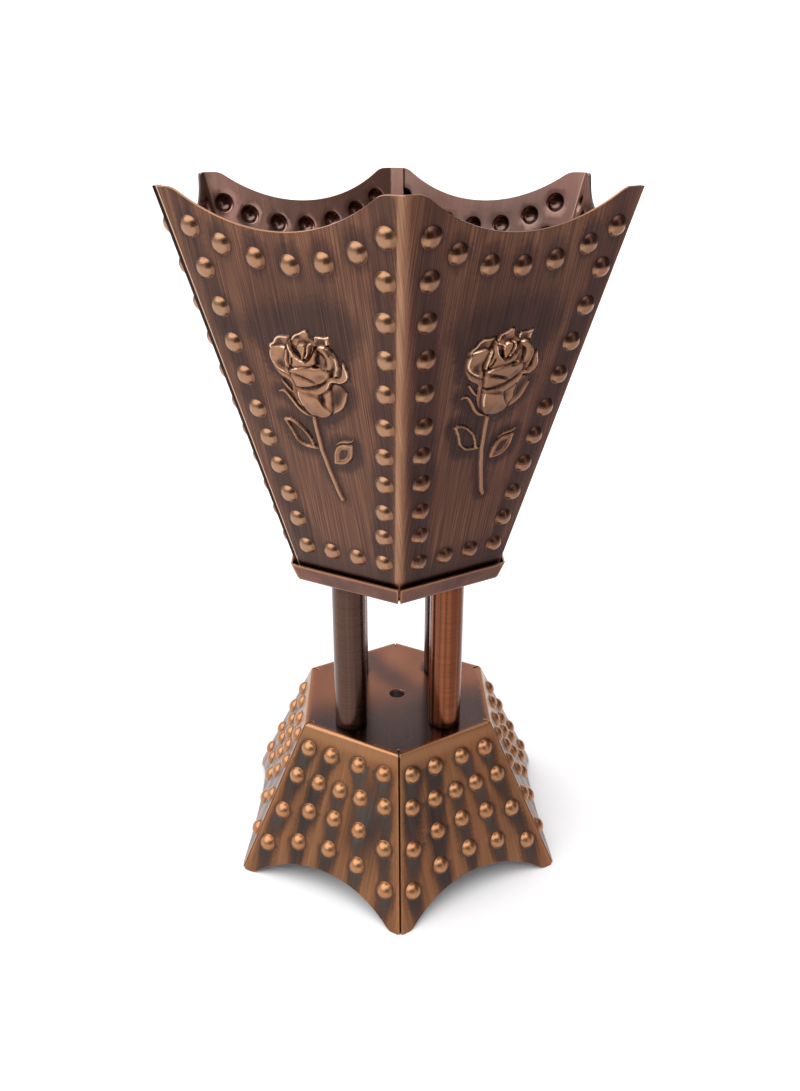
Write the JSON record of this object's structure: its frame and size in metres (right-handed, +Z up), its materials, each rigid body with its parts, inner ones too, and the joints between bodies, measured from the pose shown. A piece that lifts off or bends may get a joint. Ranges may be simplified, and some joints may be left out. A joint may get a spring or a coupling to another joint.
{
  "type": "mabkhara incense burner",
  "caption": "Footed mabkhara incense burner: flared hexagonal bowl of folded, stamped copper sheet on tubular posts above a splayed, arched hexagonal base, with a lift-out charcoal dish.",
  "frame": {"origin": "on the floor, under the middle of the burner", "axes": "+Z up the burner's own axis; one corner of the hexagon points at -Y, the front, so X is the narrower way across"},
  "size_m": [0.114, 0.1314, 0.2063],
  "materials": {
    "bowl_copper": "dark antique copper, vertically brushed, with worn folds and polished domes",
    "base_copper": "antique copper, brighter, with dark patina streaks",
    "tray_copper": "reddish satin copper with worn rim",
    "post_copper": "copper tube brushed round its circumference",
    "inner_sheet": "smooth satin, dark copper brown",
    "dish_sheet": "satin copper darkened by heat",
    "rod_steel": "zinc-plated threaded rod",
    "fixing_steel": "zinc-plated, slightly dulled"
  },
  "bodies": {
    "burner": {"base_shell": "base_copper", "stem_tray": "tray_copper", "bowl_sheet_front": "bowl_copper", "bowl_sheet_right": "bowl_copper", "bowl_sheet_left": "bowl_copper", "bowl_floor_plate": "inner_sheet", "post_front_left": "post_copper", "post_front_right": "post_copper", "post_rear_left": "post_copper", "post_rear_right": "post_copper", "tie_rod_front_left": "rod_steel", "tie_rod_front_right": "rod_steel", "tie_rod_rear_left": "rod_steel", "tie_rod_rear_right": "rod_steel", "upper_washers": "fixing_steel", "upper_nuts": "fixing_steel", "lower_washers": "fixing_steel", "lower_nuts": "fixing_steel"},
    "dish": {"charcoal_dish": "dish_sheet"}
  },
  "joints": [
    {"name": "dish_lift", "type": "slide", "parent": "burner", "child": "dish", "axis": [0, 0, 1], "range_m": [0, 0.12]}
  ]
}
